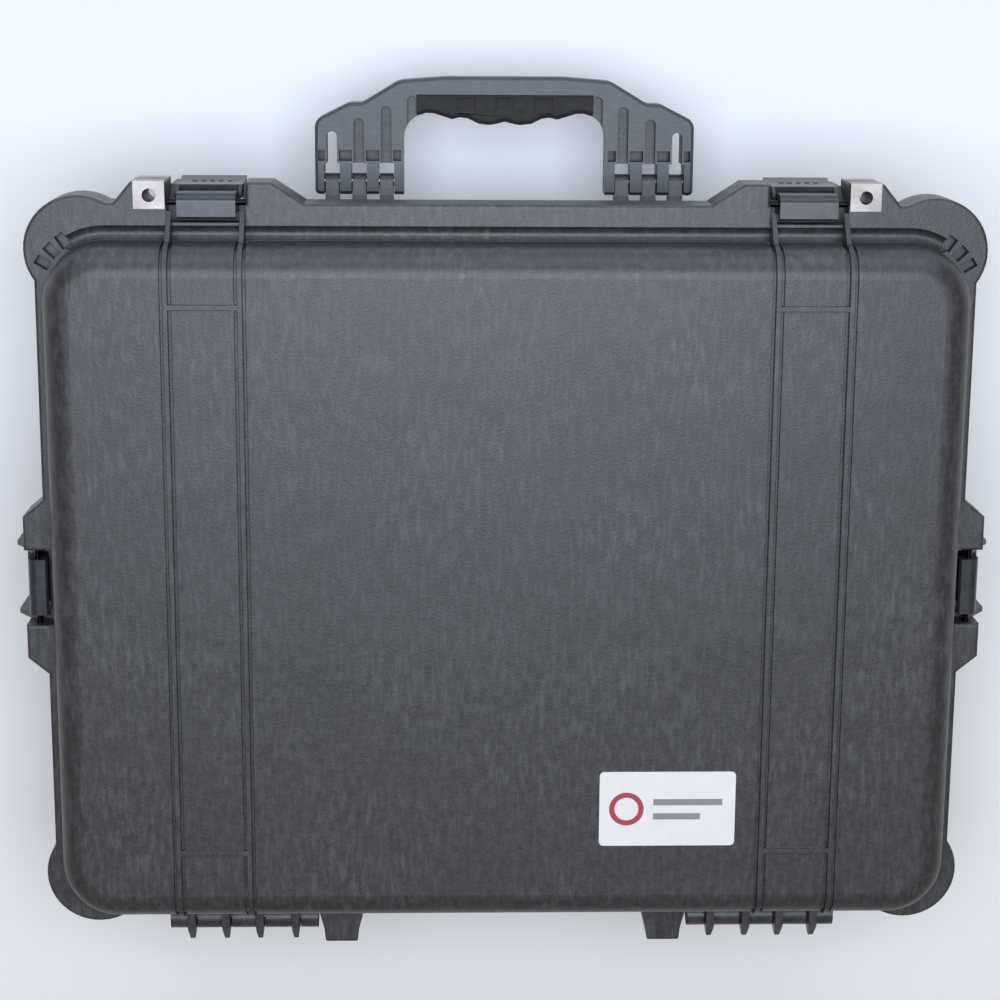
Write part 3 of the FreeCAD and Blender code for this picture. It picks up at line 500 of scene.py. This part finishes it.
def open_cell_foam():
    material, tree, shader, place = new_material(
        "open_cell_foam", {"IOR": 1.4, "Sheen Weight": 0.35, "Sheen Roughness": 0.6, "Roughness": 0.95}
    )
    pore = add(tree, "ShaderNodeTexVoronoi", {"Vector": place, "Scale": 1 / (1.2 * MM)})
    dust = add(tree, "ShaderNodeTexNoise", {"Vector": place, "Scale": 1 / (25 * MM), "Detail": 4.0})
    depth = add(
        tree,
        "ShaderNodeMapRange",
        {"Value": pore.outputs[0], "From Min": 0.1, "From Max": 0.7, "To Min": 0.0, "To Max": 0.8},
    )
    cloudy = add(tree, "ShaderNodeMath", {0: depth.outputs[0], 1: dust.outputs[0]}, operation="MULTIPLY")
    tone = add(
        tree,
        "ShaderNodeMix",
        {0: cloudy.outputs[0], 6: linear(FOAM_DARK), 7: linear(FOAM_PALE)},
        data_type="RGBA",
    )
    relief = add(
        tree, "ShaderNodeBump", {"Height": pore.outputs[0], "Strength": 0.7, "Distance": 0.5 * MM}
    )
    tree.links.new(tone.outputs[2], shader.inputs["Base Color"])
    tree.links.new(relief.outputs[0], shader.inputs["Normal"])
    return material


def inside_pocket(column, row):
    return any(x0 <= column < x1 and y0 <= row < y1 for x0, x1, y0, y1 in POCKETS)


def add_pegs(bm, wanted, low, high, jitter):
    """Fills a bmesh with the scored square pegs that are wanted, each cut a hair higher or lower."""
    dice = random.Random(7)
    for column in range(-FIELD[0], FIELD[0]):
        for row in range(-FIELD[1], FIELD[1]):
            height = high - dice.random() * jitter
            if not wanted(column, row):
                continue
            side = CELL - SCORE
            middle = Vector(((column + 0.5) * CELL, (row + 0.5) * CELL, (low + height) / 2))
            size = Matrix.Diagonal((side, side, height - low, 1.0))
            made = bmesh.ops.create_cube(bm, size=1.0, matrix=Matrix.Translation(middle) @ size)
            edges = {e for v in made["verts"] for e in v.link_edges}
            top = [e for e in edges if min(v.co.z for v in e.verts) > height - HAIR]
            round_over(bm, top, PEG_EDGE, 1)


def rounded_outline(bm, half_x, half_y, radius, z):
    """A flat face, rounded at its corners."""
    made = bmesh.ops.create_grid(bm, x_segments=1, y_segments=1, size=1.0)
    for vert in made["verts"]:
        vert.co = Vector((half_x * vert.co.x, half_y * vert.co.y, z))
    round_over(bm, made["verts"], radius, 8, affect="VERTICES")


def foam_margin(bm, low, high, node):
    """The unscored border of a foam layer, from the scored field out to the walls."""
    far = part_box(node)[1]
    rounded_outline(bm, far.x - FOAM_SLACK, far.y - FOAM_SLACK, FOAM_ROUND, high)
    outer = list(bm.edges)
    field = bmesh.ops.create_grid(bm, x_segments=1, y_segments=1, size=1.0)
    for vert in field["verts"]:
        vert.co = Vector((FIELD[0] * CELL * vert.co.x, FIELD[1] * CELL * vert.co.y, high))
    inner = [e for e in bm.edges if e not in outer]
    bmesh.ops.delete(bm, geom=list(bm.faces), context="FACES_ONLY")
    bmesh.ops.bridge_loops(bm, edges=outer + inner)
    lowered = bmesh.ops.extrude_face_region(bm, geom=list(bm.faces))
    verts = [v for v in lowered["geom"] if isinstance(v, bmesh.types.BMVert)]
    bmesh.ops.translate(bm, vec=(0, 0, low - high), verts=verts)
    raised = [e for e in bm.edges if min(v.co.z for v in e.verts) > high - HAIR]
    round_over(bm, [e for e in raised if e.calc_face_angle(0) > 1.0], LAYER_EDGE, 3)


FOAM = open_cell_foam()

top_low, top_high = (corner.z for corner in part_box("base_foam_upper"))
bm = bmesh.new()
foam_margin(bm, top_low, top_high, "base_foam_upper")
add_pegs(bm, lambda column, row: not inside_pocket(column, row), top_low, top_high, UNEVEN)
plucked = add_piece(bm, "plucked_foam_layer", FOAM, "base", ["base_foam_upper"])

low_low, low_high = (corner.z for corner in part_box("base_foam_lower"))
bm = bmesh.new()
foam_margin(bm, low_low, low_high, "base_foam_lower")
add_pegs(bm, inside_pocket, low_low, low_high - 0.2 * MM, UNEVEN)
unplucked = add_piece(bm, "scored_foam_layer", FOAM, "base", ["base_foam_lower"])

pad = eased_copy("base_foam_pad", "base_pad_sheet", FOAM, SHEET_EDGE)

WAVE = 38 * MM  # from peak to peak of the egg-box waves
WAVE_DEPTH = 20 * MM
LID_SLACK = 3 * MM
lid_low, lid_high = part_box("lid_foam")
bm = bmesh.new()
sheet = bmesh.ops.create_grid(bm, x_segments=150, y_segments=114, size=1.0)
for vert in sheet["verts"]:
    x = vert.co.x * (lid_high.x - LID_SLACK)
    y = vert.co.y * (lid_high.y - LID_SLACK)
    past_x = abs(x) - (lid_high.x - LID_SLACK - FOAM_ROUND)
    past_y = abs(y) - (lid_high.y - LID_SLACK - FOAM_ROUND)
    if past_x > 0 and past_y > 0:
        shrink = max(past_x, past_y) / math.hypot(past_x, past_y)
        x -= math.copysign(past_x * (1 - shrink), x)
        y -= math.copysign(past_y * (1 - shrink), y)
    swell = math.sin(2 * math.pi * x / WAVE) * math.sin(2 * math.pi * y / WAVE)
    vert.co = Vector((x, y, lid_low.z + 0.5 * MM + WAVE_DEPTH * (0.5 + 0.5 * swell) ** 1.2))
skirt = bmesh.ops.extrude_face_region(bm, geom=list(bm.faces))
for vert in skirt["geom"]:
    if isinstance(vert, bmesh.types.BMVert):
        vert.co = Vector((vert.co.x * 0.965, vert.co.y * 0.96, lid_high.z - 0.5 * MM))
waves = add_piece(bm, "egg_box_lid_foam", FOAM, "lid", ["lid_foam"], 60)


# ---- Label ---------------------------------------------------------------------------------------------
# A white polyester sticker, printed with a plain red ring and two grey bars, pressed flat on the lid.

LABEL_WHITE = "#e9e8e6"
LABEL_RED = "#b03a4a"
LABEL_GREY = "#8d8b8c"
LABEL_EDGE = 0.1 * MM
INK = 0.06 * MM
RING_SHIFT = 26 * MM  # from the label's middle
RING_RADIUS = 11 * MM
RING_BAND = 3.4 * MM
BAR_TALL = 4.2
BARS = ((-13, -4.5, 44), (-6, 5.0, 30))  # across and up from the label's middle, and length, in millimetres


def printed_film(name, colour):
    material, tree, shader, place = new_material(name, {"IOR": 1.6})
    wear = add(tree, "ShaderNodeTexNoise", {"Vector": place, "Scale": 1 / (9 * MM), "Detail": 6.0})
    worn = add(
        tree,
        "ShaderNodeMix",
        {0: wear.outputs[0], 6: linear(colour), 7: tuple(0.86 * c for c in linear(colour)[:3]) + (1.0,)},
        data_type="RGBA",
    )
    gloss = add(
        tree, "ShaderNodeMapRange", {"Value": wear.outputs[0], "To Min": 0.28, "To Max": 0.5}
    )
    tree.links.new(worn.outputs[2], shader.inputs["Base Color"])
    tree.links.new(gloss.outputs[0], shader.inputs["Roughness"])
    return material


eased_copy("label", "label_sticker", printed_film("printed_white_film", LABEL_WHITE), LABEL_EDGE)
label_low, label_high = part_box("label")
label_x, label_y = (label_low.x + label_high.x) / 2, (label_low.y + label_high.y) / 2

bm = bmesh.new()
place = Matrix.Translation((label_x + RING_SHIFT, label_y, label_high.z))
bmesh.ops.create_circle(bm, cap_ends=True, radius=RING_RADIUS, segments=64, matrix=place)
bmesh.ops.inset_region(bm, faces=list(bm.faces), thickness=RING_BAND, use_boundary=True)
disc = min(bm.faces, key=lambda face: (face.calc_center_median() - place.translation).length)
bmesh.ops.delete(bm, geom=[disc], context="FACES")
raised = bmesh.ops.extrude_face_region(bm, geom=list(bm.faces))
verts = [v for v in raised["geom"] if isinstance(v, bmesh.types.BMVert)]
bmesh.ops.translate(bm, vec=(0, 0, INK), verts=verts)
add_piece(bm, "label_ring", printed_film("red_ink", LABEL_RED), "lid")

bm = bmesh.new()
for across, along, wide in BARS:
    spot = Vector((label_x + across * MM, label_y + along * MM, label_high.z + INK / 2))
    size = Matrix.Diagonal((wide * MM, BAR_TALL * MM, INK, 1.0))
    bmesh.ops.create_cube(bm, size=1.0, matrix=Matrix.Translation(spot) @ size)
add_piece(bm, "label_bars", printed_film("grey_ink", LABEL_GREY), "lid")


# ---- Floor, light and camera ---------------------------------------------------------------------------
# A pale studio floor, a big soft light overhead, and a wide one beyond the handle that the front roundings,
# the drain channel and the latches mirror.

bm = bmesh.new()
bmesh.ops.create_grid(bm, x_segments=1, y_segments=1, size=6.0)
ground = bpy.data.meshes.new("studio_floor")
bm.to_mesh(ground)
bm.free()
floor = bpy.data.objects.new("studio_floor", ground)
bpy.context.scene.collection.objects.link(floor)
painted = new_material("pale_floor", {"Roughness": 0.8, "Base Color": linear("#f2f2f0")})[0]
ground.materials.append(painted)

world = bpy.data.worlds.new("soft_studio")
bpy.context.scene.world = world
world.use_nodes = True
world.node_tree.nodes["Background"].inputs["Color"].default_value = linear("#fff1e4")
world.node_tree.nodes["Background"].inputs["Strength"].default_value = 0.28


def soft_light(name, where, aim, wide, tall, power, tint):
    """A flat soft light that faces a point."""
    lamp = bpy.data.lights.new(name, "AREA")
    lamp.shape = "RECTANGLE"
    lamp.size = wide
    lamp.size_y = tall
    lamp.energy = power
    lamp.color = linear(tint)[:3]
    light = bpy.data.objects.new(name, lamp)
    bpy.context.scene.collection.objects.link(light)
    light.location = where
    light.rotation_euler = (Vector(aim) - Vector(where)).to_track_quat("-Z", "Y").to_euler()


soft_light("overhead", (0.0, -0.4, 2.4), (0, -0.1, 0.2), 1.6, 1.3, 50, "#e4efff")
soft_light("front_wall", (0.0, -2.3, 1.2), (0, 0, 0.15), 2.6, 1.6, 34, "#cfe0ff")
bpy.context.scene.view_settings.view_transform = "Standard"

EYE = Vector((0.047, -0.373, 1.587))
TILT = math.radians(12.8)  # how far the view leans back from straight down
TURN = math.radians(1.7)
back = Vector((math.sin(TURN), -math.sin(TILT) * math.cos(TURN), math.cos(TILT) * math.cos(TURN)))
right = Vector((-1, 0, 0)) + back * back.x
right.normalize()
camera_data = bpy.data.cameras.new("camera")
camera_data.lens = 82.4
camera = bpy.data.objects.new("camera", camera_data)
bpy.context.scene.collection.objects.link(camera)
turn = Matrix((right, back.cross(right), back)).transposed()
camera.matrix_world = Matrix.Translation(EYE) @ turn.to_4x4()
bpy.context.scene.camera = camera
